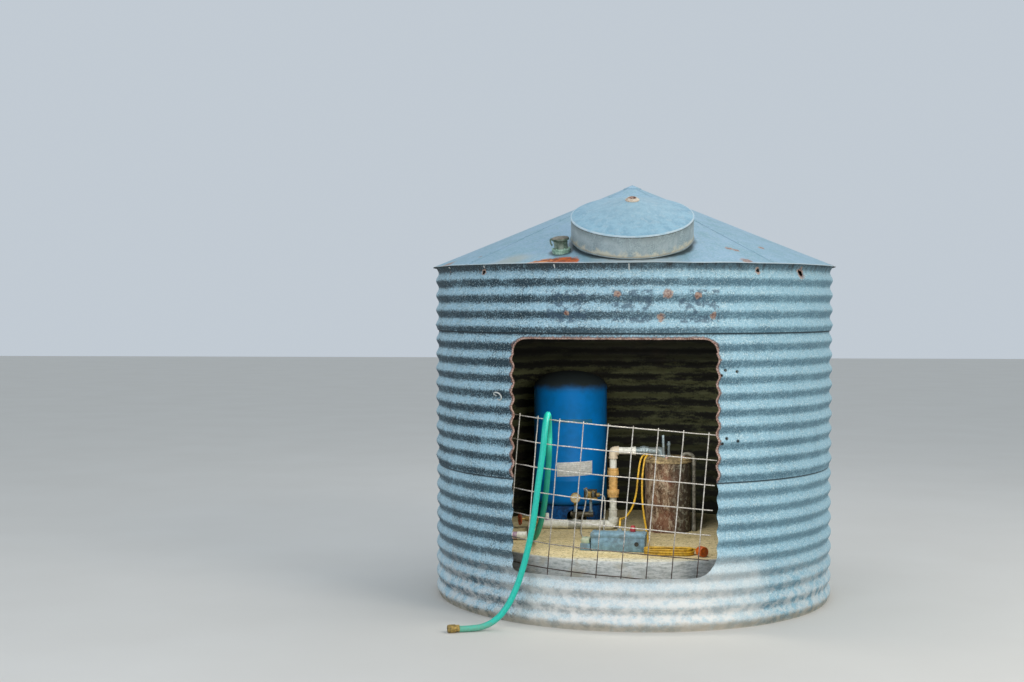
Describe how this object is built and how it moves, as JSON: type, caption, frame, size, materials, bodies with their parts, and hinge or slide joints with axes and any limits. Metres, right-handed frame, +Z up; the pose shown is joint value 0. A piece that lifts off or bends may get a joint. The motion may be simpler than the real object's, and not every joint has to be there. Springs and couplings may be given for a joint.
{
  "type": "corrugated steel tank well pump house",
  "caption": "Round corrugated steel water tank with a cone roof and lift-off hatch, cut open as a shelter for a well, pressure tank and pipes.",
  "frame": {"origin": "centre of the round wall's foot, on the ground", "axes": "+Z up; -Y out through the cut doorway; +X to the right for a viewer who faces the doorway"},
  "size_m": [1.872, 1.9348, 1.9062],
  "materials": {
    "old_zinc": "weathered galvanised",
    "roof_zinc": "dull galvanised",
    "lid_zinc": "chalky galvanised",
    "rusty_steel": "rusted",
    "grey_metal": "weathered",
    "concrete": "rough, dusty",
    "blue_paint": "satin",
    "dark_paint": "matt",
    "tan_plastic": "aged",
    "white_plastic": "aged",
    "brass": "tarnished",
    "orange_paint": "faded",
    "box_paint": "satin",
    "panel_wire": "dull, rusting",
    "teal_hose": "satin",
    "yellow_jacket": "satin",
    "orange_plastic": "dusty",
    "pale_jacket": "satin"
  },
  "bodies": {
    "shelter": {"bottom_sheet_front_right": "old_zinc", "bottom_sheet_back_right": "old_zinc", "bottom_sheet_back_left": "old_zinc", "bottom_sheet_front_left": "old_zinc", "middle_sheet_front_right": "old_zinc", "middle_sheet_back_right": "old_zinc", "middle_sheet_back_left": "old_zinc", "middle_sheet_front_left": "old_zinc", "sill_sheet": "old_zinc", "header_sheet": "old_zinc", "top_sheet_front": "old_zinc", "top_sheet_right": "old_zinc", "top_sheet_back": "old_zinc", "top_sheet_left": "old_zinc", "roof_sheet_front": "roof_zinc", "roof_sheet_right": "roof_zinc", "roof_sheet_back": "roof_zinc", "roof_sheet_left": "roof_zinc", "roof_peak_cap": "roof_zinc", "manhole_collar": "roof_zinc", "filler_neck": "grey_metal", "filler_cap": "grey_metal", "well_slab": "concrete", "tank_stand": "dark_paint", "pressure_tank": "blue_paint", "well_casing": "rusty_steel", "well_seal": "tan_plastic", "discharge_nipple": "grey_metal", "vent_pipe": "grey_metal", "sensor_pipe": "grey_metal", "cable_conduit": "grey_metal", "discharge_pipe": "white_plastic", "check_valve": "tan_plastic", "riser_pipe": "white_plastic", "slab_pipe": "white_plastic", "tank_tee": "brass", "pressure_gauge": "brass", "pressure_switch": "dark_paint", "hose_valve": "brass", "pipe_offcut": "white_plastic", "junction_box": "box_paint", "control_block": "box_paint", "wire_panel": "panel_wire", "hose": "teal_hose", "hose_end": "brass", "pump_cable": "yellow_jacket", "spare_cable": "yellow_jacket", "cable_hank": "yellow_jacket", "cable_connector": "orange_plastic", "switch_lead": "pale_jacket", "block_lead": "pale_jacket"},
    "lid": {"manhole_lid": "lid_zinc", "lid_ring": "rusty_steel"},
    "wheel": {"valve_wheel": "orange_paint"}
  },
  "joints": [
    {"name": "lid_lift", "type": "slide", "parent": "shelter", "child": "lid", "axis": [0, -0.3827, 0.9239], "range_m": [0, 0.3]},
    {"name": "valve_turn", "type": "hinge", "parent": "shelter", "child": "wheel", "pos_m": [-0.52854, 0.05869, 0.318], "axis": [-0.9397, -0.342, 0], "range_deg": [0, 360]}
  ]
}
